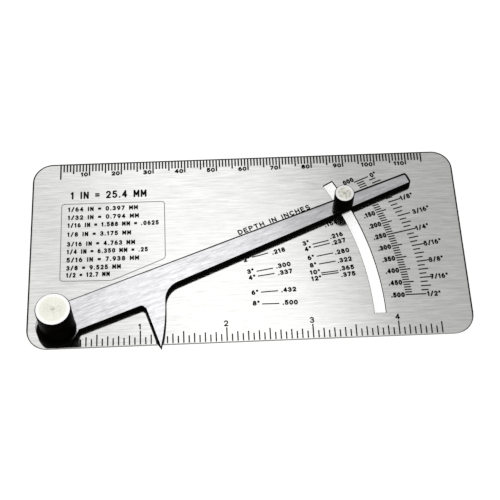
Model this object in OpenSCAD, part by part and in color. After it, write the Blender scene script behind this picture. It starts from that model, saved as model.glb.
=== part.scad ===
// Pit depth gauge: a ruled steel plate with a lever that turns on a pivot in one corner.
// The lever's spur dips past the plate's lower edge into a pit, and the lever's upper edge
// points at an arc scale on the plate. A clamp knob rides an arc slot and locks the lever.
// Millimetres. X runs along the plate, Y across it, Z up out of the ruled face.

/* [Plate] */
// Length of the plate
plate_l = 132.2; // [124:0.1:160]
// Width of the plate, from the measuring edge to the opposite edge
plate_w = 63.7; // [60:0.1:80]
// Thickness of the sheet
plate_t = 0.8; // [0.5:0.1:2]
// Radius of the plate's corners
corner_r = 6.35; // [1:0.05:8]

/* [Arc slot] */
// Radius of the slot's middle line about the pivot
slot_r = 95.1; // [88:0.1:100]
// Width of the slot
slot_w = 3.4; // [3:0.1:5]
// Angle of the slot's lower end above the plate's long side
slot_from = 0.72; // [0.5:0.02:3]
// Angle of the slot's upper end above the plate's long side
slot_to = 29.4; // [27:0.1:31]

/* [Lever] */
// Distance of the pivot from the plate's short side
pivot_x = 9.525; // [8:0.025:12]
// Distance of the pivot from the measuring edge
pivot_y = 6.35; // [5:0.05:9]
// Angle of the index edge above the plate's long side as the gauge lies
rest_angle = 21.13; // [10:0.01:24]
// Thickness of the lever
lever_t = 2; // [1:0.1:3]
// Radius of the hub, which is also the index edge's distance from the pivot
hub_r = 6.5; // [5.5:0.05:7.5]
// Distance of the heel edge below the pivot, between hub and spur
heel_drop = 3.8; // [2.5:0.1:4.5]
// Distance from the pivot to the end of the lever
lever_l = 117.9; // [108:0.1:122]
// Width of the beam where the spur leaves it
beam_root_w = 7.5; // [6.5:0.1:8.5]
// Width of the beam at its end
beam_end_w = 3.8; // [3:0.1:5]
// Radius of the corners at the beam's end
end_r = 1; // [0.4:0.1:1.2]
// Chamfer along the top of the beam's end
end_chamfer = 0.6; // [0.2:0.1:1]

/* [Spur] */
// Distance along the lever from the pivot to the top of the spur's straight side
spur_x = 25.4; // [22:0.1:30]
// How far the straight side leans towards the pivot on its way down
spur_lean = 0.65; // [0.1:0.05:1.5]
// Depth of the spur's tip below the pivot, square to the index edge
tip_drop = 18.7; // [16:0.1:22]
// Width of the spur at the heel edge
spur_w = 7.05; // [5:0.05:9]
// Radius of the spur's bowed flank
flank_r = 67; // [40:1:120]
// Radius of the fillet between the flank and the beam
root_r = 6.35; // [3:0.05:9]
// Radius of the fillet between the heel edge and the spur
heel_r = 1; // [0.4:0.1:2.5]
// Width of the bevel ground along the top of the straight side
grind = 0.5; // [0.2:0.05:0.8]
// Width of the relief that brings the straight side in to the tip
relief_w = 0.4; // [0.2:0.05:1]
// Length of the relief that brings the straight side in to the tip
relief_l = 2; // [1:0.1:3]

/* [Pivot screw and knob] */
// Diameter of the pivot screw's shank
pivot_d = 4; // [3:0.1:5]
// Diameter of the pivot screw's head, behind the plate
pivot_head_d = 7.6; // [7:0.1:10]
// Height of the pivot screw's head
head_h = 1.2; // [1:0.1:2]
// Width of the driver slot in the head
driver_w = 1; // [0.6:0.1:1.4]
// Depth of the driver slot in the head
driver_depth = 0.6; // [0.3:0.1:0.8]
// Diameter of the shim between plate and lever
shim_d = 11.4; // [9:0.1:12.6]
// Thickness of the shim between plate and lever
shim_t = 0.25; // [0.1:0.05:0.6]
// Diameter of the pivot knob
pivot_knob_d = 10.3; // [8:0.1:12]
// Height of the pivot knob
pivot_knob_h = 11; // [7:0.1:15]

/* [Clamp screw and knob] */
// Diameter of the clamp screw's shank
clamp_d = 2.5; // [2:0.1:2.7]
// Distance of the clamp screw from the index edge
clamp_inset = 2.05; // [1.8:0.05:2.2]
// Length of the clamp screw's bar head, across the slot
clamp_head_l = 7; // [5.8:0.1:9]
// Width of the clamp screw's bar head, along the slot
clamp_head_w = 3.8; // [3.4:0.1:6]
// Diameter of the clamp knob
clamp_knob_d = 6.1; // [5:0.1:8]
// Height of the clamp knob
clamp_knob_h = 5.35; // [4:0.05:9]

/* [Finish of the turned pieces] */
// Chamfer round the top of each knob
knob_chamfer = 0.25; // [0.1:0.05:0.8]
// Diameter of the centre mark in each knob's top
mark_d = 0.8; // [0.3:0.1:1.2]
// Chamfer round each screw head
head_chamfer = 0.25; // [0.1:0.05:0.4]
// Thickness of metal left above each knob's blind hole
knob_crown = 2; // [1.5:0.1:2.5]

/* [Clearances] */
// Radial clearance of each screw in its holes
run_gap = 0.05; // [0.02:0.01:0.1]
// Clearance of the square neck from each wall of the slot
neck_gap = 0.1; // [0.05:0.01:0.2]
// Space between a screw's end and the bottom of its blind hole
end_gap = 0.5; // [0.2:0.1:1]

/* [Hidden] */
$fn = 96;

// Overshoot of a cut past the face that it opens
cut = 1;
// How far a rounding circle reaches past the edges that it runs into, so that they cross cleanly
blend = 0.005;

// Heights of the faces, from the heads that the gauge rests on
plate_bottom = head_h;
plate_top = plate_bottom + plate_t;
lever_bottom = plate_top + shim_t;
lever_top = lever_bottom + lever_t;

// The clamp screw in the lever's own frame, whose X runs along the index edge
clamp_y = hub_r - clamp_inset;
clamp_x = sqrt(slot_r ^ 2 - clamp_y ^ 2);
neck_w = slot_w - 2 * neck_gap;

// The spur's corners in the lever's frame
heel_corner = [spur_x, -heel_drop];
knee = [spur_x - spur_lean, relief_l - tip_drop];
tip = [knee.x + relief_w, -tip_drop];
flank_top = [spur_x + spur_w, -heel_drop];

// How far the tip stands past the measuring edge as the gauge lies, as a place on Y
tip_y = pivot_y + tip.x * sin(rest_angle) + tip.y * cos(rest_angle);

// The model's origin: the middle of its footprint, on the surface that it rests on
origin_x = plate_l / 2;
origin_y = (plate_w + min(0, tip_y)) / 2;

// Lower edge of the beam: a straight line that rises towards the lever's end
beam_from = [spur_x + spur_w, hub_r - beam_root_w];
beam_to = [lever_l, hub_r - beam_end_w];
beam_len = norm(beam_to - beam_from);
beam_dir = (beam_to - beam_from) / beam_len;
beam_down = [beam_dir.y, -beam_dir.x];

// The lever's end: corner circles that touch the end face and one long edge each
end_x = lever_l - end_r;
end_low = [end_x, beam_low(end_x) + end_r / beam_dir.x];
end_high = [end_x, hub_r - end_r];

// Centre of the flank's circle, which passes through the tip and the spur's width at the heel
flank_chord = flank_top - tip;
flank_side = [-flank_chord.y, flank_chord.x] / norm(flank_chord);
flank_rise = sqrt(flank_r ^ 2 - norm(flank_chord) ^ 2 / 4);
flank_centre = (tip + flank_top) / 2 + flank_side * flank_rise;

// Centre of the root fillet: root_r below the beam's edge, and root_r outside the flank
root_start = beam_from + root_r * beam_down - flank_centre;
root_along = root_start * beam_dir;
root_reach = (flank_r + root_r) ^ 2 - root_start * root_start;
root_step = sqrt(root_along ^ 2 + root_reach) - root_along;
root_centre = flank_centre + root_start + root_step * beam_dir;
root_on_beam = root_centre - root_r * beam_down;
root_on_flank = flank_centre + (root_centre - flank_centre) * flank_r / (flank_r + root_r);

// Centre of the heel fillet: it touches the heel edge and the straight side
side_len = norm(knee - heel_corner);
side_dir = (knee - heel_corner) / side_len;
heel_dir = [-1, 0];
heel_half = acos(heel_dir * side_dir) / 2;
heel_reach = heel_r / tan(heel_half);
heel_middle = (heel_dir + side_dir) / norm(heel_dir + side_dir);
heel_centre = heel_corner + heel_middle * heel_r / sin(heel_half);

// Height of the beam's lower edge at a distance along the lever
function beam_low(x) = beam_from.y + (x - beam_from.x) * beam_dir.y / beam_dir.x;

// Puts the plate's lower left corner where the model's origin needs it
module in_frame() {
    translate([-origin_x, -origin_y, 0])
        children();
}

// Puts a piece on the pivot's axis, at a height
module at_pivot(z) {
    in_frame()
        translate([pivot_x, pivot_y, z])
            children();
}

// Puts a piece in the lever's frame, at a height, turned to the lever's resting angle
module on_lever(z) {
    at_pivot(z)
        rotate(rest_angle)
            children();
}

// Puts a piece on the clamp screw's axis, at a height, square to the slot
module at_clamp(z) {
    on_lever(z)
        translate([clamp_x, clamp_y, 0])
            rotate(asin(clamp_y / slot_r))
                children();
}

// A rectangle with round corners, its lower left corner at the origin
module rounded_rectangle(l, w, r) {
    translate([r, 0])
        square([l - 2 * r, w]);
    translate([0, r])
        square([l, w - 2 * r]);
    for (x = [r, l - r], y = [r, w - r])
        translate([x, y])
            circle(r);
}

// The arc slot as a cutter, about the pivot
module slot_cutter(h) {
    rotate(slot_from)
        rotate_extrude(angle = slot_to - slot_from)
            translate([slot_r - slot_w / 2, 0])
                square([slot_w, h]);
}

// The spur: the flank's disc, kept on one side of the straight side and its relief, below the beam
module spur_outline() {
    below = tip + (tip - knee) / relief_l * cut;
    far = spur_x + spur_w + root_r;
    intersection() {
        polygon([[spur_x, cut], heel_corner, knee, below, [far, below.y], [far, cut]]);
        translate(flank_centre)
            circle(flank_r, $fn = 360);
    }
}

// The web that fills the corner between flank and beam, hollowed by the fillet's circle
module root_fillet() {
    difference() {
        polygon([root_on_flank, root_centre, root_on_beam, [spur_x + spur_w - cut, cut / 2]]);
        translate(root_centre)
            circle(root_r + blend);
    }
}

// The web that fills the corner between heel edge and spur
module heel_fillet() {
    inside = heel_corner + [cut / 2, cut / 2];
    difference() {
        polygon([
            heel_corner + heel_reach * heel_dir,
            heel_centre,
            heel_corner + heel_reach * side_dir,
            inside
        ]);
        translate(heel_centre)
            circle(heel_r + blend);
    }
}

// The beam, tapered along its lower edge, with its end kept inside two corner circles
module beam_outline() {
    intersection() {
        polygon([[spur_x, hub_r], [spur_x, beam_low(spur_x)], beam_to, [lever_l, hub_r]]);
        union() {
            translate([0, -hub_r])
                square([end_x, 2 * hub_r + cut]);
            translate([0, end_low.y])
                square([lever_l + cut, end_high.y - end_low.y]);
            for (corner = [end_low, end_high])
                translate(corner)
                    circle(end_r + blend);
        }
    }
}

// The whole outline of the lever in its own frame
module lever_outline() {
    circle(hub_r);
    translate([0, -heel_drop])
        square([spur_x + spur_w / 2, heel_drop + hub_r]);
    spur_outline();
    root_fillet();
    heel_fillet();
    beam_outline();
}

// A plain turned knob: chamfered top, centre mark, blind hole for its screw
module turned_knob(d, h, hole_d) {
    difference() {
        rotate_extrude()
            polygon([
                [0, 0],
                [d / 2, 0],
                [d / 2, h - knob_chamfer],
                [d / 2 - knob_chamfer, h],
                [mark_d / 2, h],
                [0, h - mark_d / 2]
            ]);
        translate([0, 0, -cut])
            cylinder(d = hole_d + 2 * run_gap, h = h - knob_crown + cut);
    }
}

// A low screw head with a chamfered outer edge, its bearing face up
module screw_head(d, h) {
    rotate_extrude()
        polygon([
            [0, 0],
            [d / 2 - head_chamfer, 0],
            [d / 2, head_chamfer],
            [d / 2, h],
            [0, h]
        ]);
}

// A bar head that lies across the slot, its bearing face up and its ends chamfered below
module bar_head(l, w, h) {
    rotate([90, 0, 0])
        linear_extrude(w, center = true)
            polygon([
                [-l / 2 + head_chamfer, 0],
                [l / 2 - head_chamfer, 0],
                [l / 2, head_chamfer],
                [l / 2, h],
                [-l / 2, h],
                [-l / 2, head_chamfer]
            ]);
}

// The wedge that is cut off the top of the lever's end, from the height of the lever's underside
module end_cutter() {
    rotate([90, 0, 0])
        linear_extrude(4 * hub_r, center = true)
            polygon([
                [lever_l - end_chamfer - cut, lever_t + cut],
                [lever_l + cut, lever_t + cut],
                [lever_l + cut, lever_t - end_chamfer - cut]
            ]);
}

// The wedge that is ground off the top of the spur's straight side, from the lever's underside
module grind_cutter() {
    translate(heel_corner)
        rotate(acos(-side_dir.y) * sign(side_dir.x))
            translate([0, -heel_reach, 0])
                rotate([90, 0, 0])
                    linear_extrude(side_len + relief_l + cut)
                        polygon([
                            [-cut, lever_t + cut],
                            [grind + cut, lever_t + cut],
                            [-cut, lever_t - grind - cut]
                        ]);
}

// A flat ring
module ring(outer_d, inner_d, h) {
    difference() {
        cylinder(d = outer_d, h = h);
        translate([0, 0, -cut])
            cylinder(d = inner_d, h = h + 2 * cut);
    }
}

module base_plate() {
    color("gainsboro")
        difference() {
            in_frame()
                translate([0, 0, plate_bottom])
                    linear_extrude(plate_t)
                        rounded_rectangle(plate_l, plate_w, corner_r);
            at_pivot(plate_bottom - cut)
                cylinder(d = pivot_d + 2 * run_gap, h = plate_t + 2 * cut);
            at_pivot(plate_bottom - cut)
                slot_cutter(plate_t + 2 * cut);
        }
}

module lever_arm() {
    color("lightsteelblue")
        difference() {
            on_lever(lever_bottom)
                linear_extrude(lever_t)
                    lever_outline();
            on_lever(lever_bottom) {
                end_cutter();
                grind_cutter();
            }
            at_pivot(lever_bottom - cut)
                cylinder(d = pivot_d + 2 * run_gap, h = lever_t + 2 * cut);
            at_clamp(lever_bottom - cut)
                cylinder(d = clamp_d + 2 * run_gap, h = lever_t + 2 * cut);
        }
}

module pivot_screw() {
    color("silver")
        at_pivot(0)
            difference() {
                union() {
                    screw_head(pivot_head_d, head_h);
                    cylinder(d = pivot_d, h = lever_top + pivot_knob_h - knob_crown - end_gap);
                }
                translate([-pivot_head_d, -driver_w / 2, -cut])
                    cube([2 * pivot_head_d, driver_w, driver_depth + cut]);
            }
}

module pivot_shim() {
    color("darkkhaki")
        at_pivot(plate_top)
            ring(shim_d, pivot_d + 2 * run_gap, shim_t);
}

module pivot_knob() {
    color("ivory")
        at_pivot(lever_top)
            turned_knob(pivot_knob_d, pivot_knob_h, pivot_d);
}

// The square neck keeps the screw from turning in the slot while its knob is turned
module clamp_screw() {
    color("silver")
        at_clamp(0) {
            bar_head(clamp_head_l, clamp_head_w, head_h);
            translate([-neck_w / 2, -neck_w / 2, head_h / 2])
                cube([neck_w, neck_w, plate_top - neck_gap - head_h / 2]);
            cylinder(d = clamp_d, h = lever_top + clamp_knob_h - knob_crown - end_gap);
        }
}

module clamp_knob() {
    color("ivory")
        at_clamp(lever_top)
            turned_knob(clamp_knob_d, clamp_knob_h, clamp_d);
}

base_plate();
lever_arm();
pivot_screw();
pivot_shim();
pivot_knob();
clamp_screw();
clamp_knob();
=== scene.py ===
"""Looks of a pit depth gauge: its etched rules and scales, metal finishes and studio stage."""

import math

import bpy
import numpy as np
from mathutils import Matrix, Vector


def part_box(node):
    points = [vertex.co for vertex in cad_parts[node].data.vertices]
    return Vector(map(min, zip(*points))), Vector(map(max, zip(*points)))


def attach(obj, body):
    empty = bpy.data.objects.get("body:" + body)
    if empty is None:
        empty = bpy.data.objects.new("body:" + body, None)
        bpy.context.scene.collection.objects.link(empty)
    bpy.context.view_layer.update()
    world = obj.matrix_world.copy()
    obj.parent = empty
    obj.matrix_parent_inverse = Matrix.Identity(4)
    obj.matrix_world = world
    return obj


bl_info = {
    "name": "Pit depth gauge",
    "version": (1, 0, 0),
    "blender": (4, 5, 0),
    "location": "3D View > Sidebar > Gauge",
    "description": "Etched rules, depth scale, metal finishes and stage for a pit depth gauge",
    "category": "Object",
}

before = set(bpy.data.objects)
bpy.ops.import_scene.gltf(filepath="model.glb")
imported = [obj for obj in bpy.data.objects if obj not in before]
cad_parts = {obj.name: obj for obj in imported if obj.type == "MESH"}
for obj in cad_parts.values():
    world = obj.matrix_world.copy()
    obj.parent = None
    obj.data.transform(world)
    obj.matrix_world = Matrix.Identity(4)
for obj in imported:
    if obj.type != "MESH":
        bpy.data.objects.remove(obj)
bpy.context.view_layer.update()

MM = 0.001
INCH = 25.4 * MM

PLATE_LOW, PLATE_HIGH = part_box("base_plate")
PLATE_WIDTH = PLATE_HIGH.y - PLATE_LOW.y
PIVOT = (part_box("pivot_knob")[0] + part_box("pivot_knob")[1]) / 2
CLAMP = (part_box("clamp_knob")[0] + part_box("clamp_knob")[1]) / 2

# Turn of the lever's upper edge as the gauge lies.
EDGE_ANGLE = math.radians(21.13)

# The lever's rim of painted shade is turned by this against its upper edge, so that it widens towards
# the end.
RIM_LEAN = math.radians(0.2)

# Painted shade on the lever round the pivot knob's foot, most of it towards the heel.
FOOT_SHADE_SHIFT = np.array([-0.35, -1.10]) * MM
FOOT_SHADE_RADIUS = 5.90 * MM
FOOT_SHADE_EDGE = 0.15 * MM

# Edges up to this stay crisp. The lever's ground edges are at 45 degrees.
CRISP_EDGE = math.radians(45.2)

# Points of a CAD mesh that are closer than this are one point.
SAME_PLACE = 0.0005 * MM

# Marks are sunk a little into the plate, and stand proud of it by the thickness of the ink.
INK_LOW = PLATE_HIGH.z - 0.02 * MM
INK_HIGH = PLATE_HIGH.z + 0.012 * MM

# Noise cells in a metre across the brushing: hair lines, and broader lines that the brush drags.
HAIR_RATE = 4200.0
DRAG_RATE = 1500.0

# Sides and rims that are painted dark as shade: their roughness, and their reflection at a grazing
# angle, which is held low so that the painted shade stays dark.
SIDE_ROUGHNESS = 0.42
EDGE_TINT = (0.45, 0.45, 0.45)

# A faced end: roughness of its polished rim, and shade of the ring round its centre.
RIM_ROUGHNESS = 0.14
MARK_TINT = 0.72


# Settings


class GAUGE_PG_rules(bpy.types.PropertyGroup):
    """Straight rules along the plate's two long edges."""

    mm_start: bpy.props.FloatProperty(
        name="Millimetre zero",
        description="Distance from the plate's left edge to the millimetre rule's zero",
        default=7.70 * MM,
        unit="LENGTH",
    )
    mm_count: bpy.props.IntProperty(
        name="Millimetres",
        description="Number of millimetre lines",
        default=115,
        min=1,
    )
    inch_start: bpy.props.FloatProperty(
        name="Inch zero",
        description="Distance from the plate's left edge to the inch rule's zero",
        default=8.085 * MM,
        unit="LENGTH",
    )
    inch_count: bpy.props.IntProperty(
        name="Sixteenths",
        description="Number of sixteenths of an inch on the inch rule",
        default=72,
        min=1,
    )
    line_width: bpy.props.FloatProperty(
        name="Line width",
        description="Width of the rules' lines",
        default=0.47 * MM,
        unit="LENGTH",
    )
    edge_gap: bpy.props.FloatProperty(
        name="Edge gap",
        description="Distance from the plate's edge to the lines' outer ends",
        default=0.25 * MM,
        unit="LENGTH",
    )


class GAUGE_PG_depth_scale(bpy.types.PropertyGroup):
    """Arc scale that the lever's upper edge points at."""

    zero_angle: bpy.props.FloatProperty(
        name="Zero angle",
        description="Angle of the lever's upper edge at the scale's zero",
        default=math.radians(23.58),
        subtype="ANGLE",
        unit="ROTATION",
    )
    step_radius: bpy.props.FloatProperty(
        name="Step radius",
        description="Radius of the arc whose length is the reading, about that of the spur's tip",
        default=31.18926 * MM,
        unit="LENGTH",
    )
    edge_offset: bpy.props.FloatProperty(
        name="Edge offset",
        description="Distance from the pivot to the line of the lever's upper edge",
        default=6.35 * MM,
        unit="LENGTH",
    )
    line_width: bpy.props.FloatProperty(
        name="Line width",
        description="Width of the scale's lines",
        default=0.41 * MM,
        unit="LENGTH",
    )
    number_height: bpy.props.FloatProperty(
        name="Number height",
        description="Height of the scale's numbers",
        default=1.75 * MM,
        unit="LENGTH",
    )


class GAUGE_PG_finish(bpy.types.PropertyGroup):
    """Colours of the gauge's finishes."""

    plate_colour: bpy.props.FloatVectorProperty(
        name="Plate",
        description="Colour of the brushed plate",
        default=(0.80, 0.80, 0.785),
        subtype="COLOR",
    )
    lever_colour: bpy.props.FloatVectorProperty(
        name="Lever",
        description="Colour of the brushed lever",
        default=(0.72, 0.72, 0.735),
        subtype="COLOR",
    )
    knob_colour: bpy.props.FloatVectorProperty(
        name="Knobs",
        description="Colour of the knobs' faced tops",
        default=(0.93, 0.92, 0.83),
        subtype="COLOR",
    )
    # Painted shade: the near black that sides, cut edges, rims and the knob's foot take in place of
    # their shading.
    side_colour: bpy.props.FloatVectorProperty(
        name="Sides",
        description="Colour of the darkened sides of the knobs and of the cut edges",
        default=(0.004, 0.0035, 0.003),
        subtype="COLOR",
    )
    fastener_colour: bpy.props.FloatVectorProperty(
        name="Screws",
        description="Colour of the screws behind the plate",
        default=(0.60, 0.60, 0.59),
        subtype="COLOR",
    )
    shim_colour: bpy.props.FloatVectorProperty(
        name="Shim",
        description="Colour of the thin ring under the lever's hub",
        default=(0.66, 0.53, 0.28),
        subtype="COLOR",
    )
    ink_colour: bpy.props.FloatVectorProperty(
        name="Marks",
        description="Colour of the black filled marks",
        default=(0.012, 0.012, 0.012),
        subtype="COLOR",
    )
    panel_line_colour: bpy.props.FloatVectorProperty(
        name="Panel outline",
        description="Colour of the thin outline round the panel of equivalents",
        default=(0.30, 0.30, 0.295),
        subtype="COLOR",
    )
    # Painted shade: widths of the dark rims along the plate's and lever's edges.
    plate_rim: bpy.props.FloatProperty(
        name="Plate rim",
        description="Width of the dark rim inside the plate's outline",
        default=0.57 * MM,
        unit="LENGTH",
    )
    lever_rim: bpy.props.FloatProperty(
        name="Lever rim",
        description="Width of the dark rim inside the lever's upper edge and end",
        default=0.62 * MM,
        unit="LENGTH",
    )


class GAUGE_PG_stage(bpy.types.PropertyGroup):
    """Floor, light and camera."""

    floor_colour: bpy.props.FloatVectorProperty(
        name="Floor",
        description="Colour of the floor",
        default=(1.0, 1.0, 1.0),
        subtype="COLOR",
    )
    camera_place: bpy.props.FloatVectorProperty(
        name="Camera",
        description="Place of the camera",
        default=(-9.860 * MM, -178.308 * MM, 327.086 * MM),
        subtype="XYZ",
        unit="LENGTH",
    )
    camera_aim: bpy.props.FloatVectorProperty(
        name="Aim",
        description="Point on the plate that the camera looks at",
        default=(0.837 * MM, -0.527 * MM, 2.0 * MM),
        subtype="XYZ",
        unit="LENGTH",
    )
    camera_roll: bpy.props.FloatProperty(
        name="Roll",
        description="Turn of the camera about its line of sight",
        default=math.radians(0.8669),
        subtype="ANGLE",
        unit="ROTATION",
    )
    camera_lens: bpy.props.FloatProperty(
        name="Lens",
        description="Focal length on a sensor 36 mm wide",
        default=87.608,
        unit="CAMERA",
    )


# Strokes and letters


def arc(cx, cy, rx, ry, start, end, count=9):
    """Points on an ellipse about (cx, cy), in even steps from one angle in degrees to another."""
    turn = np.radians(np.linspace(start, end, count))
    return np.stack([cx + rx * np.cos(turn), cy + ry * np.sin(turn)], axis=1)


def chain(*pieces):
    """Points, given singly or as arrays, joined into one path."""
    return np.concatenate([np.atleast_2d(np.asarray(piece, float)) for piece in pieces])


# The upright stroke that many letters start with.
STEM = chain((0.0, 0.0), (0.0, 1.0))

# Each letter is a few pen strokes in a box one high; its width is the first value.
LETTERS = {
    "0": (0.66, [arc(0.33, 0.5, 0.33, 0.5, 90, 450, 19)]),
    "1": (0.36, [chain((0.24, 0.0), (0.24, 1.0)), chain((0.24, 1.0), (0.02, 0.80))]),
    "2": (
        0.62,
        [
            chain(arc(0.31, 0.71, 0.30, 0.29, 165, -35, 11), (0.02, 0.0)),
            chain((0.02, 0.0), (0.62, 0.0)),
        ],
    ),
    "3": (0.62, [arc(0.29, 0.75, 0.28, 0.25, 155, -90, 11), arc(0.29, 0.26, 0.33, 0.26, 90, -155, 11)]),
    "4": (
        0.68,
        [
            chain((0.48, 0.0), (0.48, 1.0)),
            chain((0.48, 1.0), (0.0, 0.30)),
            chain((0.0, 0.30), (0.68, 0.30)),
        ],
    ),
    "5": (
        0.62,
        [
            chain((0.56, 1.0), (0.10, 1.0)),
            chain((0.10, 1.0), (0.06, 0.54)),
            arc(0.29, 0.32, 0.32, 0.32, 128, -150, 12),
        ],
    ),
    "6": (0.64, [arc(0.32, 0.31, 0.31, 0.31, 90, 450, 17), arc(0.46, 0.36, 0.45, 0.63, 100, 180, 8)]),
    "7": (0.60, [chain((0.0, 1.0), (0.60, 1.0)), chain((0.60, 1.0), (0.20, 0.0))]),
    "8": (0.64, [arc(0.32, 0.76, 0.26, 0.24, 90, 450, 15), arc(0.32, 0.26, 0.32, 0.26, 90, 450, 15)]),
    "9": (0.64, [arc(0.32, 0.69, 0.31, 0.31, 90, 450, 17), arc(0.18, 0.64, 0.45, 0.63, -80, 0, 8)]),
    ".": (0.06, [chain((0.03, 0.0), (0.03, 0.03))]),
    "/": (0.50, [chain((0.0, -0.06), (0.50, 1.06))]),
    '"': (0.28, [chain((0.04, 1.02), (0.04, 0.78)), chain((0.24, 1.02), (0.24, 0.78))]),
    "=": (0.56, [chain((0.0, 0.34), (0.56, 0.34)), chain((0.0, 0.66), (0.56, 0.66))]),
    "C": (0.64, [arc(0.36, 0.5, 0.36, 0.5, 45, 315, 13)]),
    "D": (0.64, [STEM, chain((0.0, 1.0), arc(0.22, 0.5, 0.42, 0.5, 90, -90, 13), (0.0, 0.0))]),
    "E": (
        0.54,
        [
            STEM,
            chain((0.0, 1.0), (0.54, 1.0)),
            chain((0.0, 0.52), (0.46, 0.52)),
            chain((0.0, 0.0), (0.54, 0.0)),
        ],
    ),
    "H": (0.62, [STEM, chain((0.62, 0.0), (0.62, 1.0)), chain((0.0, 0.52), (0.62, 0.52))]),
    "I": (0.04, [chain((0.02, 0.0), (0.02, 1.0))]),
    "M": (
        0.76,
        [
            STEM,
            chain((0.0, 1.0), (0.38, 0.30)),
            chain((0.38, 0.30), (0.76, 1.0)),
            chain((0.76, 1.0), (0.76, 0.0)),
        ],
    ),
    "N": (0.64, [STEM, chain((0.0, 1.0), (0.64, 0.0)), chain((0.64, 0.0), (0.64, 1.0))]),
    "P": (0.58, [STEM, chain((0.0, 1.0), arc(0.30, 0.74, 0.28, 0.26, 90, -90, 11), (0.0, 0.48))]),
    "S": (
        0.60,
        [
            chain(
                arc(0.30, 0.75, 0.29, 0.25, 35, 270, 11),
                arc(0.30, 0.25, 0.30, 0.25, 90, -145, 11),
            )
        ],
    ),
    "T": (0.62, [chain((0.31, 0.0), (0.31, 1.0)), chain((0.0, 1.0), (0.62, 1.0))]),
    " ": (0.34, []),
}


def rings_to_faces(count):
    """Quads that join four-cornered rings in order into a closed bar, with a quad at each end."""
    ring = np.arange(count - 1)[:, None] * 4
    corner = np.arange(4)[None, :]
    following = (corner + 1) % 4
    quads = np.stack([ring + corner, ring + corner + 4, ring + following + 4, ring + following], axis=-1)
    ends = np.array([[0, 1, 2, 3], [3, 2, 1, 0]]) + np.array([[0], [4 * (count - 1)]])
    return np.concatenate([quads.reshape(-1, 4), ends])


def stroke(path, width):
    """A bar of ink: a rectangle carried along a flat path. Near each end its half width falls as the
    cosine of an angle while the path runs on by the sine, which rounds the end off."""
    path = np.asarray(path, float)
    along = np.gradient(path, axis=0)
    along /= np.linalg.norm(along, axis=1, keepdims=True)
    angle = np.radians([80.0, 40.0])
    reach = width / 2 * np.sin(angle)[:, None]
    path = np.concatenate([path[:1] - along[:1] * reach, path, path[-1:] + along[-1:] * reach[::-1]])
    along = np.concatenate([along[[0, 0]], along, along[[-1, -1]]])
    half = np.full((len(path), 1), width / 2)
    half[[0, 1], 0] *= np.cos(angle)
    half[[-1, -2], 0] *= np.cos(angle)
    left = np.stack([-along[:, 1], along[:, 0]], axis=1) * half
    flat = np.stack([path + left, path - left, path - left, path + left], axis=1)
    height = np.broadcast_to([INK_LOW, INK_LOW, INK_HIGH, INK_HIGH], flat.shape[:2])
    points = np.concatenate([flat, height[..., None]], axis=2).reshape(-1, 3)
    return points, rings_to_faces(len(path))


def bars(starts, ends, width):
    """Straight lines of ink, all at once: each is a box from its start to its end."""
    starts = np.asarray(starts, float)
    ends = np.asarray(ends, float)
    along = ends - starts
    along /= np.linalg.norm(along, axis=1, keepdims=True)
    left = np.stack([-along[:, 1], along[:, 0]], axis=1) * width / 2
    flat = np.stack(
        [starts + left, starts - left, starts - left, starts + left]
        + [ends + left, ends - left, ends - left, ends + left],
        axis=1,
    )
    height = np.broadcast_to([INK_LOW, INK_LOW, INK_HIGH, INK_HIGH] * 2, flat.shape[:2])
    points = np.concatenate([flat, height[..., None]], axis=2).reshape(-1, 3)
    faces = rings_to_faces(2)[None] + 8 * np.arange(len(starts))[:, None, None]
    return points, faces.reshape(-1, 4)


def lettering(text, centre, height, pen, angle=0.0, stretch=1.0, gap=0.22):
    """Strokes of a line of text. Its letters stand side by side in boxes one high, are scaled to the
    height less the pen's width, centred, turned by the angle and moved to the centre."""
    size = height - pen
    space = gap + pen / size / stretch
    widths = np.array([LETTERS[letter][0] for letter in text])
    starts = np.concatenate([[0.0], np.cumsum(widths + space)])
    middle = np.array([(starts[-1] - space) / 2, 0.5])
    turn = np.array([[math.cos(angle), math.sin(angle)], [-math.sin(angle), math.cos(angle)]])
    parts = []
    for letter, start in zip(text, starts):
        for path in LETTERS[letter][1]:
            placed = (path + [start, 0.0] - middle) * [size * stretch, size]
            parts.append(stroke(placed @ turn + centre, pen))
    return parts


def text_width(text, height, pen, stretch=1.0, gap=0.22):
    """Length of a line of text from the first letter's edge to the last one's."""
    size = height - pen
    space = gap + pen / size / stretch
    widths = sum(LETTERS[letter][0] + space for letter in text) - space
    return widths * size * stretch + pen


def fitted_text(text, start, end, height, pen):
    """Strokes of a line of text that runs from a start to an end on the plate, both in mm. The letters
    are stretched by the line's length over the text's own, each without the pen's widths in it."""
    start = np.array(start) * MM
    end = np.array(end) * MM
    along = end - start
    pens = len(text) * pen
    stretch = (float(np.linalg.norm(along)) - pens) / (text_width(text, height, pen) - pens)
    turn = math.atan2(along[1], along[0])
    return lettering(text, on_plate((start + end) / 2), height, pen, turn, stretch)


def rounded_outline(corners, radius, count=6):
    """Closed path round a polygon. At each corner a quadratic curve runs from a point on one side to
    a point on the next, the radius away from the corner, so the path turns without a kink."""
    corners = np.asarray(corners, float)
    back = np.roll(corners, 1, axis=0) - corners
    ahead = np.roll(corners, -1, axis=0) - corners
    back *= radius / np.linalg.norm(back, axis=1, keepdims=True)
    ahead *= radius / np.linalg.norm(ahead, axis=1, keepdims=True)
    t = np.linspace(0.0, 1.0, count)[None, :, None]
    curve = corners[:, None] + back[:, None] * (1 - t) ** 2 + ahead[:, None] * t**2
    path = curve.reshape(-1, 2)
    return np.concatenate([path, path[:1]])


def on_plate(points):
    """Places given from the plate's lower left corner, in the gauge's own frame."""
    return np.asarray(points, float) + [PLATE_LOW.x, PLATE_LOW.y]


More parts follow.
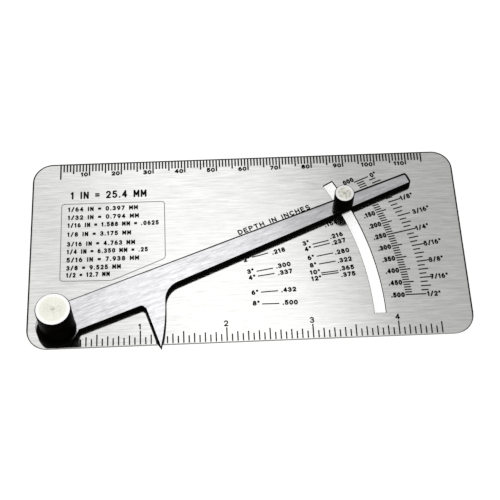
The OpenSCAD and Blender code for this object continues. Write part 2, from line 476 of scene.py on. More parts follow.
def marks(name, parts, material):
    """One object from many bars of ink. It rides on the plate and takes the ink's finish."""
    firsts = np.cumsum([0] + [len(corners) for corners, quads in parts])
    points = np.concatenate([corners for corners, quads in parts])
    faces = np.concatenate([quads + first for (corners, quads), first in zip(parts, firsts)])
    mesh = bpy.data.meshes.new(name)
    mesh.from_pydata(points.tolist(), [], faces.tolist())
    mesh.validate()
    mesh.update()
    piece = bpy.data.objects.new(name, mesh)
    bpy.context.scene.collection.objects.link(piece)
    mesh.materials.append(material)
    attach(piece, "plate")


# Materials


def fresh_material(name):
    """An empty node material, its shader and its output joined."""
    material = bpy.data.materials.new(name)
    material.use_nodes = True
    tree = material.node_tree
    tree.nodes.clear()
    output = tree.nodes.new("ShaderNodeOutputMaterial")
    shader = tree.nodes.new("ShaderNodeBsdfPrincipled")
    tree.links.new(shader.outputs["BSDF"], output.inputs["Surface"])
    return material, tree, shader


def add_node(tree, kind, inputs=None, **settings):
    """A node with its settings, and its inputs given as values or as the sockets that feed them."""
    node = tree.nodes.new(kind)
    for key, value in settings.items():
        setattr(node, key, value)
    for key, value in (inputs or {}).items():
        if isinstance(value, bpy.types.NodeSocket):
            tree.links.new(value, node.inputs[key])
        else:
            node.inputs[key].default_value = value
    return node


def arithmetic(tree, operation, *values):
    """The result of a sum on one or two values. Each is a number or a socket."""
    return add_node(tree, "ShaderNodeMath", dict(enumerate(values)), operation=operation).outputs[0]


def vector_sum(tree, operation, *values):
    """As arithmetic, on vectors. The result is a vector, or a number where it is a distance."""
    node = add_node(tree, "ShaderNodeVectorMath", dict(enumerate(values)), operation=operation)
    return node.outputs["Value" if operation == "DISTANCE" else "Vector"]


def split_vector(tree, vector):
    """The vector's three parts."""
    return add_node(tree, "ShaderNodeSeparateXYZ", {"Vector": vector}).outputs


def mapped(tree, vector, **change):
    """The vector moved by a Location, turned by a Rotation or scaled by a Scale."""
    return add_node(tree, "ShaderNodeMapping", {"Vector": vector, **change}).outputs[0]


def number_mix(tree, factor, first, second):
    """Number that goes from the first to the second with the factor. Either may be a socket."""
    mix = add_node(tree, "ShaderNodeMix", {0: factor, 2: first, 3: second}, data_type="FLOAT")
    return mix.outputs[0]


def colour_mix(tree, factor, first, second):
    """Colour that goes from the first to the second with the factor. Either may be a socket."""
    low, high = (c if isinstance(c, bpy.types.NodeSocket) else (*c, 1.0) for c in (first, second))
    mix = add_node(tree, "ShaderNodeMix", {0: factor, 6: low, 7: high}, data_type="RGBA")
    return mix.outputs[2]


def map_range(tree, value, low, high, to_low, to_high, smooth=False):
    """The value taken from one range to another along a straight line, or along a smooth step, and
    held at the range's ends."""
    node = add_node(
        tree,
        "ShaderNodeMapRange",
        {"Value": value, "From Min": low, "From Max": high, "To Min": to_low, "To Max": to_high},
        interpolation_type="SMOOTHSTEP" if smooth else "LINEAR",
        clamp=True,
    )
    return node.outputs["Result"]


def noise(tree, vector, scale, detail=2.0, roughness=0.5):
    """Noise between 0 and 1 at the vector."""
    inputs = {"Vector": vector, "Scale": scale, "Detail": detail, "Roughness": roughness}
    return add_node(tree, "ShaderNodeTexNoise", inputs).outputs["Fac"]


def relief(tree, shader, height, strength, distance, **normal):
    """Gives the shader fine relief: a bump of that strength and distance, on its own Normal or on
    another."""
    inputs = {"Height": height, "Strength": strength, "Distance": distance, **normal}
    bump = add_node(tree, "ShaderNodeBump", inputs)
    tree.links.new(bump.outputs["Normal"], shader.inputs["Normal"])


def drawn_out(tree, shader, direction, anisotropy):
    """Makes the shader metal that is brushed along a direction of the piece's own frame, so that its
    highlights are drawn out. The result is that direction in the world's frame."""
    tangent = add_node(
        tree,
        "ShaderNodeVectorTransform",
        {"Vector": direction},
        vector_type="VECTOR",
        convert_from="OBJECT",
        convert_to="WORLD",
    ).outputs[0]
    tree.links.new(tangent, shader.inputs["Tangent"])
    shader.inputs["Metallic"].default_value = 1.0
    shader.inputs["Anisotropic"].default_value = anisotropy
    shader.inputs["Anisotropic Rotation"].default_value = 0.25
    return tangent


def facing_up(tree, coordinates, low, high, both=True):
    """1 where the surface is level, 0 where it is a side, and even between the limits. A surface that
    faces down counts as level where both is set."""
    height = split_vector(tree, coordinates.outputs["Normal"])["Z"]
    if both:
        height = arithmetic(tree, "ABSOLUTE", height)
    return map_range(tree, height, low, high, 0.0, 1.0)


def edge_tint(tree, shader, level):
    """Full reflection at a grazing angle where the surface is level, and less on its sides painted dark
    as shade.
    """
    tint = colour_mix(tree, level, EDGE_TINT, (1.0, 1.0, 1.0))
    tree.links.new(tint, shader.inputs["Specular Tint"])


def tinted(colour, amount):
    """The colour made lighter or darker by the amount."""
    return tuple(min(1.0, channel * amount) for channel in colour)


def inside_outline(tree, place, low, high, corner):
    """Distance inwards from the outline of a rectangle with round corners: the corner's radius less
    how far the place lies past the corner's centre, in whichever directions it does."""
    middle = (low + high) / 2
    reach = (high - low) / 2 - corner
    offset = vector_sum(tree, "SUBTRACT", place, (*middle, 0.0))
    past = vector_sum(tree, "SUBTRACT", vector_sum(tree, "ABSOLUTE", offset), (*reach, 0.0))
    x, y = split_vector(tree, past)[:2]
    outer_x = arithmetic(tree, "MAXIMUM", x, 0.0)
    outer_y = arithmetic(tree, "MAXIMUM", y, 0.0)
    squares = [arithmetic(tree, "POWER", outer, 2.0) for outer in (outer_x, outer_y)]
    outer = arithmetic(tree, "SQRT", arithmetic(tree, "ADD", *squares))
    nearest = arithmetic(tree, "MINIMUM", arithmetic(tree, "MAXIMUM", x, y), 0.0)
    return arithmetic(tree, "SUBTRACT", corner, arithmetic(tree, "ADD", outer, nearest))


def axis_distance(tree, place, axis):
    """Distance of the place from an upright axis."""
    flat = vector_sum(tree, "MULTIPLY", place, (1.0, 1.0, 0.0))
    return vector_sum(tree, "DISTANCE", flat, (*axis, 0.0))


def brushed_steel(
    name,
    colour,
    side_colour,
    angle,
    roughness,
    anisotropy,
    streak,
    stroke_rate=190.0,
    outline=None,
    bow=0.0,
    foot_shade=None,
):
    """Steel brushed in one direction. Noise drawn out along that direction gives hair lines in colour,
    roughness and height, broad noise gives cloudy patches, and cut edges get painted shade. So do a
    narrow rim inside the outline (a rectangle's two corners, their radius, the rim's width, and the
    height below which cut edges get painted light instead) and a round patch at a knob's foot (its
    centre and radius). The bow leans the face a little along the brushing, as on a strip that isn't
    quite level."""
    material, tree, shader = fresh_material(name)
    coordinates = add_node(tree, "ShaderNodeTexCoord")
    place = coordinates.outputs["Object"]
    turned = mapped(tree, place, Rotation=(0.0, 0.0, -angle))
    hair = mapped(tree, turned, Scale=(stroke_rate, HAIR_RATE, HAIR_RATE))
    drag = mapped(tree, turned, Scale=(stroke_rate / 3.0, DRAG_RATE, DRAG_RATE))
    lines = arithmetic(tree, "ADD", noise(tree, hair, 1.0, 3.0, 0.6), noise(tree, drag, 1.0))
    fine = map_range(tree, lines, 0.7, 1.3, 0.0, 1.0)
    clouds = map_range(tree, noise(tree, place, 60.0), 0.35, 0.65, 0.0, 0.25)
    # Sides get painted shade. On the lever, whose bow is set, the underside does too.
    level = facing_up(tree, coordinates, 0.985, 0.999, both=bow == 0.0)
    bright = colour_mix(tree, fine, tinted(colour, 1.0 - streak), tinted(colour, 1.0 + streak * 0.7))
    patched = colour_mix(tree, clouds, bright, tinted(colour, 0.9))
    side = side_colour
    clear = 1.0
    if outline:
        low, high, corner, rim, lit = outline
        # Painted shade: a rim inside the outline.
        depth = inside_outline(tree, turned, low, high, corner)
        clear = map_range(tree, depth, rim * 0.7, rim, 0.0, 1.0)
        # Painted light: cut edges below the lit height take a lighter copy of the steel's colour.
        height = split_vector(tree, turned)["Y"]
        unlit = map_range(tree, height, lit - 0.5 * MM, lit + 0.5 * MM, 0.0, 1.0)
        side = colour_mix(tree, unlit, tinted(colour, 0.9), side_colour)
    # Painted shade round a knob's foot.
    if foot_shade:
        centre, radius = foot_shade
        away = axis_distance(tree, place, centre)
        outside_shade = map_range(tree, away, radius - FOOT_SHADE_EDGE, radius + FOOT_SHADE_EDGE, 0.0, 1.0)
        clear = arithmetic(tree, "MULTIPLY", clear, outside_shade)
    shade = colour_mix(tree, level, side, patched)
    if outline or foot_shade:
        shade = colour_mix(tree, clear, side_colour, shade)
        level = arithmetic(tree, "MULTIPLY", level, clear)
    tree.links.new(shade, shader.inputs["Base Color"])
    edge_tint(tree, shader, level)
    dull = map_range(tree, lines, 0.7, 1.3, roughness - 0.03, roughness + 0.03)
    tree.links.new(number_mix(tree, level, SIDE_ROUGHNESS, dull), shader.inputs["Roughness"])
    tangent = drawn_out(tree, shader, (math.cos(angle), math.sin(angle), 0.0), anisotropy)
    face = add_node(tree, "ShaderNodeNewGeometry").outputs["Normal"]
    if bow:
        leaning = vector_sum(tree, "MULTIPLY_ADD", tangent, (bow, bow, bow), face)
        face = vector_sum(tree, "NORMALIZE", leaning)
    relief(tree, shader, lines, 0.08, 0.004 * MM, Normal=face)
    return material


def turned_steel(
    name, colour, side_colour, axis, roughness, ring_scale, reach, wear=0.85, fade=0.80, mark=0.0
):
    """Steel turned on a lathe. Noise over the distance from the axis and the height gives tool marks
    that run round the piece: rings on a faced end, hoops on a side. Within the reach a faced end has
    worn speckles, which fade from that share of the reach to its end, and beyond it is polished and
    painted lighter as a highlight. A mark is the radius of a dark ring round its centre. The sides take
    the painted shade colour."""
    material, tree, shader = fresh_material(name)
    coordinates = add_node(tree, "ShaderNodeTexCoord")
    place = coordinates.outputs["Object"]
    x, y, z = split_vector(tree, mapped(tree, place, Location=(-axis.x, -axis.y, 0.0)))
    radius = axis_distance(tree, place, axis.xy)
    groove = add_node(tree, "ShaderNodeCombineXYZ", {"X": radius, "Y": 0.0, "Z": z}).outputs[0]
    rings = noise(tree, groove, ring_scale, 3.0, 0.6)
    speckles = noise(tree, place, 1500.0, 3.0, 0.7)
    level = facing_up(tree, coordinates, 0.80, 0.95)
    level = arithmetic(tree, "MAXIMUM", level, map_range(tree, radius, 0.4 * MM, 0.6 * MM, 1.0, 0.0))
    fine = map_range(tree, rings, 0.35, 0.65, 0.0, 1.0)
    rim = map_range(tree, radius, reach * 0.86, reach * 1.04, 0.0, 1.0)
    worn = arithmetic(
        tree,
        "MULTIPLY",
        map_range(tree, speckles, 0.40, 0.62, 0.0, 1.0),
        map_range(tree, radius, reach * fade, reach, 1.0, 0.0),
    )
    top = colour_mix(tree, fine, tinted(colour, 0.98), tinted(colour, 1.08))
    top = colour_mix(tree, worn, top, tinted(colour, wear))
    # Painted highlight: the polished rim beyond the reach is made lighter.
    top = colour_mix(tree, rim, top, tinted(colour, 1.2))
    if mark:
        from_mark = arithmetic(tree, "ABSOLUTE", arithmetic(tree, "SUBTRACT", radius, mark))
        ring = map_range(tree, from_mark, 0.06 * MM, 0.16 * MM, 1.0, 0.0)
        top = colour_mix(tree, ring, top, tinted(colour, MARK_TINT))
    # Sides: painted shade, with hoops from the tool marks.
    side = colour_mix(tree, fine, tinted(side_colour, 0.5), tinted(side_colour, 1.6))
    tree.links.new(colour_mix(tree, level, side, top), shader.inputs["Base Color"])
    edge_tint(tree, shader, level)
    dull = map_range(tree, rings, 0.35, 0.65, roughness - 0.06, roughness + 0.06)
    polish = arithmetic(tree, "MULTIPLY", level, rim)
    tree.links.new(number_mix(tree, polish, dull, RIM_ROUGHNESS), shader.inputs["Roughness"])
    relief(tree, shader, rings, 0.25, 0.01 * MM)
    minus_y = arithmetic(tree, "MULTIPLY", y, -1.0)
    round_axis = add_node(tree, "ShaderNodeCombineXYZ", {"X": minus_y, "Y": x}).outputs[0]
    drawn_out(tree, shader, round_axis, 0.6)
    return material


def ink(name, colour):
    """Black filling of the etched lines: matt, with a fine grain in colour, roughness and height. It is
    made the first time that its name is asked for."""
    if name in bpy.data.materials:
        return bpy.data.materials[name]
    material, tree, shader = fresh_material(name)
    grain = noise(tree, add_node(tree, "ShaderNodeTexCoord").outputs["Object"], 4000.0)
    shade = colour_mix(tree, grain, tinted(colour, 0.7), tinted(colour, 1.5))
    tree.links.new(shade, shader.inputs["Base Color"])
    tree.links.new(map_range(tree, grain, 0.3, 0.7, 0.55, 0.75), shader.inputs["Roughness"])
    relief(tree, shader, grain, 0.2, 0.005 * MM)
    shader.inputs["Specular IOR Level"].default_value = 0.08
    return material


def black_ink():
    """The filling of the rules, scales and texts."""
    return ink("black_ink", tuple(bpy.context.scene.gauge_finish.ink_colour))


def join_points(node, mode):
    """Joins a node's points that share a place with a live weld: ALL of them, or only CONNECTED ones."""
    weld = node.modifiers.new("join_points", "WELD")
    weld.mode = mode
    weld.merge_threshold = SAME_PLACE


def soften_edges(node, width):
    """Joins a node's loose triangles into flat faces and breaks its sharp edges, with live modifiers."""
    join_points(node, "ALL")
    flat = node.modifiers.new("join_flat_faces", "DECIMATE")
    flat.decimate_type = "DISSOLVE"
    flat.angle_limit = math.radians(0.2)
    bevel = node.modifiers.new("edge_break", "BEVEL")
    bevel.width = width
    bevel.segments = 2
    bevel.use_clamp_overlap = False
    bevel.loop_slide = False
    bevel.limit_method = "ANGLE"
    bevel.angle_limit = CRISP_EDGE
    bevel.harden_normals = True


# Geometry of the depth scale


def lever_angle(reading, scale):
    """Angle of the lever for a reading: the zero angle less the reading over the step radius."""
    return scale.zero_angle - np.asarray(reading, float) * INCH / scale.step_radius


def edge_points(reading, radius, scale):
    """Points where the lever's upper edge lies for a reading, at a distance from the pivot. The edge
    is a straight line, the offset away from the pivot."""
    turn = lever_angle(reading, scale)
    along = np.sqrt(np.asarray(radius, float) ** 2 - scale.edge_offset**2)
    x = PIVOT.x + along * np.cos(turn) - scale.edge_offset * np.sin(turn)
    y = PIVOT.y + along * np.sin(turn) + scale.edge_offset * np.cos(turn)
    return np.stack(np.broadcast_arrays(x, y), axis=-1)


# Operators


class GAUGE_OT_millimetre_rule(bpy.types.Operator):
    """Millimetre lines and numbers along the upper edge"""

    bl_idname = "gauge.millimetre_rule"
    bl_label = "Millimetre rule"

    def execute(self, context):
        rules = context.scene.gauge_rules
        first, ten, five, one = np.array([5.7, 4.6, 3.8, 3.0]) * MM
        count = np.arange(1, rules.mm_count + 1)
        x = rules.mm_start + count * MM
        length = np.where(count % 10 == 0, ten, np.where(count % 5 == 0, five, one))
        length[0] = first
        starts = np.stack([x, np.full(len(x), PLATE_WIDTH - rules.edge_gap)], axis=1)
        ends = np.stack([x, PLATE_WIDTH - length], axis=1)
        parts = [bars(on_plate(starts), on_plate(ends), rules.line_width)]
        # Each number ends a little to the left of its line.
        style = {"height": 1.6 * MM, "pen": 0.48 * MM, "stretch": 1.15, "gap": 0.06}
        y = PLATE_WIDTH - 4.05 * MM
        for tens in range(10, rules.mm_count, 10):
            text = str(tens)
            end = rules.mm_start + tens * MM - 0.45 * MM
            centre = (end - text_width(text, **style) / 2, y)
            parts += lettering(text, on_plate(centre), **style)
        marks("millimetre_rule", parts, black_ink())
        return {"FINISHED"}


class GAUGE_OT_inch_rule(bpy.types.Operator):
    """Lines for sixteenths of an inch and inch numbers along the measuring edge"""

    bl_idname = "gauge.inch_rule"
    bl_label = "Inch rule"

    def execute(self, context):
        rules = context.scene.gauge_rules
        inch, half, eighth, sixteenth = np.array([4.7, 4.0, 3.3, 2.6]) * MM
        count = np.arange(0, rules.inch_count + 1)
        x = rules.inch_start + count * INCH / 16
        length = np.where(count % 2 == 0, eighth, sixteenth)
        length = np.where(count % 8 == 0, half, length)
        length = np.where(count % 16 == 0, inch, length)
        starts = np.stack([x, np.full(len(x), rules.edge_gap)], axis=1)
        ends = np.stack([x, length], axis=1)
        parts = [bars(on_plate(starts), on_plate(ends), rules.line_width * 0.85)]
        # Each number stands above its line, a little to the left.
        style = {"height": 1.95 * MM, "pen": 0.40 * MM}
        for inches in range(1, rules.inch_count // 16 + 1):
            centre = (rules.inch_start + inches * INCH - 0.15 * MM, 6.0 * MM)
            parts += lettering(str(inches), on_plate(centre), **style)
        marks("inch_rule", parts, black_ink())
        return {"FINISHED"}


class GAUGE_OT_depth_scale(bpy.types.Operator):
    """Arc scale of pit depth, in thousandths and in fractions of an inch"""

    bl_idname = "gauge.depth_scale"
    bl_label = "Depth scale"

    def execute(self, context):
        scale = context.scene.gauge_depth_scale
        parts = [self.hundredth_lines(scale), self.fraction_lines(scale)]
        parts += self.numbers(scale)
        marks("depth_scale", parts, black_ink())
        return {"FINISHED"}

    def hundredth_lines(self, scale):
        """Lines for hundredths of an inch, between two distances from the pivot in mm: longer at every
        fifth, and longest at zero, a quarter and half an inch."""
        count = np.arange(0, 51)
        outer = np.where(count % 5 == 0, 106.7, 105.5)
        outer[[0, 25, 50]] = 107.5, 112.7, 109.6
        inner = np.full(len(outer), 103.4)
        inner[:5] = 103.0
        inner[0] = 102.5
        return self.lines(count / 100, inner, outer, scale)

    def fraction_lines(self, scale):
        """Lines for sixty-fourths of an inch: longest at sixteenths, then thirty-seconds. Their inner
        ends lie on a parabola over the count, a little further out in the middle of the scale."""
        count = np.arange(1, 32)
        count = count[count != 16]
        inner = 109.4 - 0.007 * (count - 19.0) ** 2
        length = np.where(count % 4 == 0, 4.1, np.where(count % 2 == 0, 3.0, 2.2))
        return self.lines(count / 64, inner, inner + length, scale)

    def lines(self, readings, inner, outer, scale):
        """Lines along the lever's upper edge at each reading, between two distances in mm."""
        starts = edge_points(readings, inner * MM, scale)
        return bars(starts, edge_points(readings, outer * MM, scale), scale.line_width)

    def numbers(self, scale):
        """Thousandths inside the lines, turned along them, and fractions outside."""
        parts = []
        style = {"height": scale.number_height, "pen": 0.50 * MM, "stretch": 0.82, "gap": 0.06}
        for twentieths in range(11):
            reading = twentieths * 0.05
            text = f"{reading:.3f}"[1:]
            turn = float(lever_angle(reading, scale))
            centre = edge_points(reading, 101.1 * MM, scale)
            if twentieths == 0:
                # The zero stands a little further up and to the left.
                centre = centre + np.array([-0.8, 0.9]) * MM
            parts += lettering(text, centre, angle=turn, **style)
        # Sixteenths of an inch, text, and its distance from the pivot in mm.
        fractions = [
            (0, '0"', 109.2),
            (2, '1/8"', 114.6),
            (3, '3/16"', 116.7),
            (4, '1/4"', 114.7),
            (5, '5/16"', 115.9),
            (6, '3/8"', 115.2),
            (7, '7/16"', 114.7),
            (8, '1/2"', 111.9),
        ]
        style = {"height": scale.number_height, "pen": 0.46 * MM, "stretch": 0.88, "gap": 0.10}
        for sixteenths, text, radius in fractions:
            turn = float(lever_angle(sixteenths / 16, scale))
            centre = edge_points(sixteenths / 16, radius * MM, scale)
            parts += lettering(text, centre, angle=turn, **style)
        return parts


class GAUGE_OT_wall_tables(bpy.types.Operator):
    """Two columns of leader lines, with a size before each and a thickness after it"""

    bl_idname = "gauge.wall_tables"
    bl_label = "Wall tables"

    def execute(self, context):
        scale = context.scene.gauge_depth_scale
        # Thickness, reading of its line, size, and how far both texts stand above the line in mm.
        near = [
            (0.218, 0.197, '2"', -0.2),
            (0.300, 0.297, '3"', 0.4),
            (0.337, 0.331, '4"', -0.1),
            (0.432, 0.442, '6"', 0.1),
            (0.500, 0.522, '8"', 0.3),
        ]
        far = [
            (0.154, 0.130, '2"', -0.5),
            (0.216, 0.213, '3"', 1.0),
            (0.237, 0.229, '4"', -0.1),
            (0.280, 0.279, '6"', 0.0),
            (0.322, 0.321, '8"', 0.0),
            (0.365, 0.369, '10"', 0.6),
            (0.375, 0.379, '12"', -0.9),
        ]
        parts = self.column(near, 61.4, 66.5, 3.2, scale)
        parts += self.column(far, 80.3, 85.5, 2.75, scale)
        marks("wall_tables", parts, black_ink())
        return {"FINISHED"}

    def column(self, rows, inner, outer, after, scale):
        """Lines between two distances from the pivot in mm, which grow by 4 mm for each inch that the
        line's reading is under 0.28. A size stands before each line, and a thickness after it."""
        before = 1.77
        leaders = np.array([row[1] for row in rows])
        shift = 4.0 * (0.28 - leaders)
        starts = edge_points(leaders, (inner + shift) * MM, scale)
        ends = edge_points(leaders, (outer + shift) * MM, scale)
        parts = [bars(starts, ends, scale.line_width * 0.9)]
        style = {"height": 1.65 * MM, "pen": 0.46 * MM, "gap": 0.12}
        for (thickness, leader, size, above), moved in zip(rows, shift):
            turn = float(lever_angle(leader, scale))
            upwards = np.array([-math.sin(turn), math.cos(turn)]) * above * MM
            for text, radius in ((size, inner - before), (f"{thickness:.3f}"[1:], outer + after)):
                centre = edge_points(leader, (radius + moved) * MM, scale) + upwards
                parts += lettering(text, centre, angle=turn, **style)
        return parts


class GAUGE_OT_equivalents_panel(bpy.types.Operator):
    """Outlined panel of inch and millimetre equivalents, with its heading"""

    bl_idname = "gauge.equivalents_panel"
    bl_label = "Equivalents panel"

    def execute(self, context):
        # Height of a row's middle and place of its right end on the plate in mm, and its text.
        rows = [
            (46.93, 32.9, "1/64 IN = 0.397 MM"),
            (43.99, 33.2, "1/32 IN = 0.794 MM"),
            (41.25, 39.3, "1/16 IN = 1.588 MM = .0625"),
            (38.04, 30.8, "1/8 IN = 3.175 MM"),
            (34.64, 32.0, "3/16 IN = 4.763 MM"),
            (31.97, 35.9, "1/4 IN = 6.350 MM = .25"),
            (29.14, 33.2, "5/16 IN = 7.938 MM"),
            (26.37, 27.7, "3/8 = 9.525 MM"),
            (23.96, 24.4, "1/2 = 12.7 MM"),
        ]
        left = 11.2
        parts = []
        for y, right, text in rows:
            parts += fitted_text(text, (left, y), (right, y), 1.66 * MM, 0.43 * MM)
        parts += fitted_text("1 IN = 25.4 MM", (11.9, 51.95), (35.6, 51.95), 2.75 * MM, 0.56 * MM)
        marks("equivalents", parts, black_ink())
        corners = [(9.29, 48.95), (9.42, 22.02), (24.99, 21.69), (41.16, 28.64), (41.12, 48.72)]
        outline = rounded_outline(on_plate(np.array(corners) * MM), 1.0 * MM)
        line = ink("panel_line", tuple(context.scene.gauge_finish.panel_line_colour))
        marks("panel_outline", [stroke(outline, 0.26 * MM)], line)
        return {"FINISHED"}


class GAUGE_OT_unit_label(bpy.types.Operator):
    """Unit of the tables, on a line along the lever's upper edge"""

    bl_idname = "gauge.unit_label"
    bl_label = "Unit label"

    def execute(self, context):
        start = (63.55, 36.45)
        end = (86.2, 44.9)
        parts = fitted_text("DEPTH IN INCHES", start, end, 1.75 * MM, 0.40 * MM)
        marks("unit_label", parts, black_ink())
        return {"FINISHED"}


class GAUGE_OT_metal_finishes(bpy.types.Operator):
    """Finishes of the plate, lever, knobs, screws and shim"""

    bl_idname = "gauge.metal_finishes"
    bl_label = "Metal finishes"

    def execute(self, context):
        finish = context.scene.gauge_finish
        side = tuple(finish.side_colour)
        finishes = {
            "base_plate": self.plate_steel(finish, side),
            "lever_arm": self.lever_steel(finish, side),
        }
        knob = tuple(finish.knob_colour)
        for name, axis, reach, wear, fade, mark in (
            ("pivot_knob", PIVOT, 4.3 * MM, 0.85, 0.35, 0.62 * MM),
            ("clamp_knob", CLAMP, 2.3 * MM, 0.58, 0.80, 0.50 * MM),
        ):
            finishes[name] = turned_steel(
                name + "_steel", knob, side, axis, 0.34, 2600.0, reach, wear, fade, mark
            )
        fastener = tuple(finish.fastener_colour)
        # Painted shade: the screws' sides take a darker copy of their colour.
        for name, axis, reach in (("pivot_screw", PIVOT, 3.3 * MM), ("clamp_screw", CLAMP, 3.0 * MM)):
            finishes[name] = turned_steel(
                name + "_steel", fastener, tinted(fastener, 0.7), axis, 0.36, 3200.0, reach
            )
        # Painted shade: the shim's sides take a darker copy of its colour.
        shim = tuple(finish.shim_colour)
        finishes["pivot_shim"] = brushed_steel(
            "shim_brass",
            shim,
            tinted(shim, 0.7),
            angle=0.6,
            roughness=0.36,
            anisotropy=0.4,
            streak=0.12,
        )
        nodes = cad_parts
        for name, material in finishes.items():
            nodes[name].data.materials.clear()
            nodes[name].data.materials.append(material)
        soften_edges(nodes["base_plate"], 0.16 * MM)
        soften_edges(nodes["lever_arm"], 0.20 * MM)
        # The CAD mesh of each knob has one triangle without an area, at the tip of its centre mark.
        join_points(nodes["pivot_knob"], "CONNECTED")
        join_points(nodes["clamp_knob"], "CONNECTED")
        return {"FINISHED"}

    def plate_steel(self, finish, side):
        """Brushed along the plate. Its rim of painted shade is thinner at the measuring edge, whose side
        gets painted light.
        """
        corner = 6.35 * MM
        thinner = 0.46 * MM
        lit = PLATE_LOW.y + 1.0 * MM
        low = np.array(PLATE_LOW.xy) - [0.0, thinner]
        return brushed_steel(
            "plate_steel",
            tuple(finish.plate_colour),
            side,
            angle=0.0,
            roughness=0.10,
            anisotropy=0.70,
            streak=0.18,
            stroke_rate=320.0,
            outline=(low, np.array(PLATE_HIGH.xy), corner, finish.plate_rim, lit),
        )

    def lever_steel(self, finish, side):
        """Brushed along the lever, with painted shade round the pivot knob's foot. Its rim of painted
        shade runs inside the upper edge and end of a rectangle that reaches far past the lever's other
        sides."""
        length = 117.5 * MM
        edge_offset = 6.5 * MM
        lean_centre = 60.0 * MM
        corner = 1.0 * MM
        far = 0.4
        never_lit = -1.0
        brushing = EDGE_ANGLE - RIM_LEAN
        along = np.array([math.cos(brushing), math.sin(brushing)])
        across = np.array([-along[1], along[0]])
        pivot = np.array(PIVOT.xy)
        end = np.array([pivot @ along + length, pivot @ across + edge_offset + lean_centre * RIM_LEAN])
        return brushed_steel(
            "lever_steel",
            tuple(finish.lever_colour),
            side,
            angle=brushing,
            roughness=0.11,
            anisotropy=0.75,
            streak=0.30,
            stroke_rate=650.0,
            outline=(end - far, end, corner, finish.lever_rim, never_lit),
            bow=0.016,
            foot_shade=(pivot + FOOT_SHADE_SHIFT, FOOT_SHADE_RADIUS),
        )


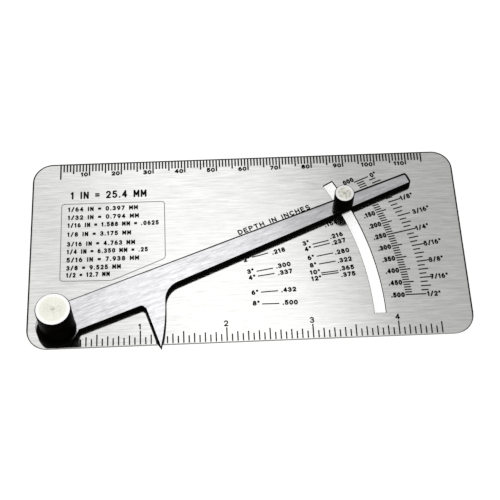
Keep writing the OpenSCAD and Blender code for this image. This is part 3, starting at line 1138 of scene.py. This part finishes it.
class GAUGE_OT_stage(bpy.types.Operator):
    """Pale floor, soft studio light and the camera"""

    bl_idname = "gauge.stage"
    bl_label = "Stage"

    def execute(self, context):
        stage = context.scene.gauge_stage
        self.floor(context.scene, stage)
        self.world(context.scene)
        self.camera(context.scene, stage)
        context.scene.view_settings.view_transform = "Standard"
        return {"FINISHED"}

    def floor(self, scene, stage):
        """A level square that holds the object's shadow. It shines a little for the camera and in
        reflections, so that it looks white."""
        reach = 3.0
        count = 5
        shade = 0.85
        shine = 0.52
        side = np.linspace(-reach, reach, count)
        x, y = np.meshgrid(side, side, indexing="ij")
        points = np.stack([x, y, np.zeros_like(x)], axis=-1).reshape(-1, 3)
        step = np.arange(count - 1)
        corner = (step[:, None] * count + step[None, :]).reshape(-1, 1)
        faces = corner + np.array([[0, count, count + 1, 1]])
        mesh = bpy.data.meshes.new("floor")
        mesh.from_pydata(points.tolist(), [], faces.tolist())
        piece = bpy.data.objects.new("floor", mesh)
        scene.collection.objects.link(piece)
        material, tree, shader = fresh_material("floor_white")
        colour = tuple(stage.floor_colour)
        shader.inputs["Base Color"].default_value = (*tinted(colour, shade), 1.0)
        shader.inputs["Roughness"].default_value = 0.8
        path = add_node(tree, "ShaderNodeLightPath").outputs
        seen = arithmetic(tree, "MAXIMUM", path["Is Camera Ray"], path["Is Glossy Ray"])
        seen = arithmetic(tree, "MAXIMUM", seen, path["Is Transmission Ray"])
        strength = arithmetic(tree, "MULTIPLY", seen, shine)
        glow = add_node(tree, "ShaderNodeEmission", {"Color": (*colour, 1.0), "Strength": strength})
        shaders = {0: shader.outputs["BSDF"], 1: glow.outputs["Emission"]}
        both = add_node(tree, "ShaderNodeAddShader", shaders)
        output = next(node for node in tree.nodes if node.type == "OUTPUT_MATERIAL")
        tree.links.new(both.outputs["Shader"], output.inputs["Surface"])
        mesh.materials.append(material)

    def world(self, scene):
        """Studio walls and ceiling as a smooth function of direction: an even grey all round, and above
        and behind the object a softbox that falls off to the right and is brightest in its middle."""
        world = bpy.data.worlds.new("studio")
        scene.world = world
        world.use_nodes = True
        tree = world.node_tree
        tree.nodes.clear()
        output = tree.nodes.new("ShaderNodeOutputWorld")
        coordinates = add_node(tree, "ShaderNodeTexCoord")
        across, back, up = split_vector(tree, coordinates.outputs["Generated"])
        # The walls are darker behind the object, and even low down.
        walls = map_range(tree, back, -0.8, 0.3, 0.85, 0.40)
        low = map_range(tree, up, 0.20, 0.50, 1.0, 0.0, smooth=True)
        lift = arithmetic(tree, "MULTIPLY", low, arithmetic(tree, "SUBTRACT", 0.80, walls))
        walls = arithmetic(tree, "ADD", walls, lift)
        # The softbox falls off from left to right. Its brightest band leans to the right as it rises.
        fall_off = map_range(tree, across, -0.20, 0.24, 0.92, 0.47)
        softbox = arithmetic(tree, "MULTIPLY", fall_off, map_range(tree, up, 0.84, 0.92, 1.0, 1.2))
        centre = map_range(tree, up, 0.83, 0.92, -0.028, 0.045)
        off_middle = arithmetic(tree, "ABSOLUTE", arithmetic(tree, "SUBTRACT", across, centre))
        middle = map_range(tree, off_middle, 0.03, 0.14, 1.0, 0.0, smooth=True)
        high = map_range(tree, up, 0.83, 0.92, 0.38, 0.62)
        softbox = arithmetic(tree, "ADD", softbox, arithmetic(tree, "MULTIPLY", middle, high))
        # It takes the walls' place by this share.
        above = map_range(tree, up, 0.45, 0.72, 0.0, 1.0, smooth=True)
        behind = map_range(tree, back, -0.40, 0.0, 0.0, 1.0, smooth=True)
        share = arithmetic(tree, "MULTIPLY", above, behind)
        extra = arithmetic(tree, "MULTIPLY", share, arithmetic(tree, "SUBTRACT", softbox, walls))
        strength = arithmetic(tree, "ADD", walls, extra)
        light = {"Color": (1.0, 1.0, 1.0, 1.0), "Strength": strength}
        background = add_node(tree, "ShaderNodeBackground", light)
        tree.links.new(background.outputs[0], output.inputs["Surface"])

    def camera(self, scene, stage):
        """A camera at its place that looks at the aim, turned about its line of sight."""
        view = bpy.data.cameras.new("camera")
        view.sensor_width = 36.0
        view.lens = stage.camera_lens
        view.clip_start = 0.01
        piece = bpy.data.objects.new("camera", view)
        place = Vector(stage.camera_place)
        look = Vector(stage.camera_aim) - place
        turn = look.to_track_quat("-Z", "Y").to_matrix() @ Matrix.Rotation(stage.camera_roll, 3, "Z")
        piece.matrix_world = Matrix.Translation(place) @ turn.to_4x4()
        scene.collection.objects.link(piece)
        scene.camera = piece


class GAUGE_PT_sidebar(bpy.types.Panel):
    """Buttons and settings of the gauge"""

    bl_idname = "GAUGE_PT_sidebar"
    bl_label = "Pit depth gauge"
    bl_space_type = "VIEW_3D"
    bl_region_type = "UI"
    bl_category = "Gauge"

    def draw(self, context):
        for operator in OPERATORS:
            self.layout.operator(operator.bl_idname)
        for group in SETTINGS:
            box = self.layout.box()
            settings = getattr(context.scene, group)
            for name in settings.__annotations__:
                box.prop(settings, name)


SETTINGS = {
    "gauge_rules": GAUGE_PG_rules,
    "gauge_depth_scale": GAUGE_PG_depth_scale,
    "gauge_finish": GAUGE_PG_finish,
    "gauge_stage": GAUGE_PG_stage,
}

OPERATORS = (
    GAUGE_OT_metal_finishes,
    GAUGE_OT_millimetre_rule,
    GAUGE_OT_inch_rule,
    GAUGE_OT_depth_scale,
    GAUGE_OT_wall_tables,
    GAUGE_OT_equivalents_panel,
    GAUGE_OT_unit_label,
    GAUGE_OT_stage,
)


def register():
    """Registers the settings, operators and panel."""
    for name, group in SETTINGS.items():
        bpy.utils.register_class(group)
        setattr(bpy.types.Scene, name, bpy.props.PointerProperty(type=group))
    for operator in OPERATORS:
        bpy.utils.register_class(operator)
    bpy.utils.register_class(GAUGE_PT_sidebar)


def unregister():
    """Removes what register() added."""
    bpy.utils.unregister_class(GAUGE_PT_sidebar)
    for operator in reversed(OPERATORS):
        bpy.utils.unregister_class(operator)
    for name, group in SETTINGS.items():
        delattr(bpy.types.Scene, name)
        bpy.utils.unregister_class(group)


def main():
    """Builds the marks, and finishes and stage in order."""
    register()
    for operator in OPERATORS:
        family, name = operator.bl_idname.split(".")
        getattr(getattr(bpy.ops, family), name)()


if __name__ == "__main__":
    main()
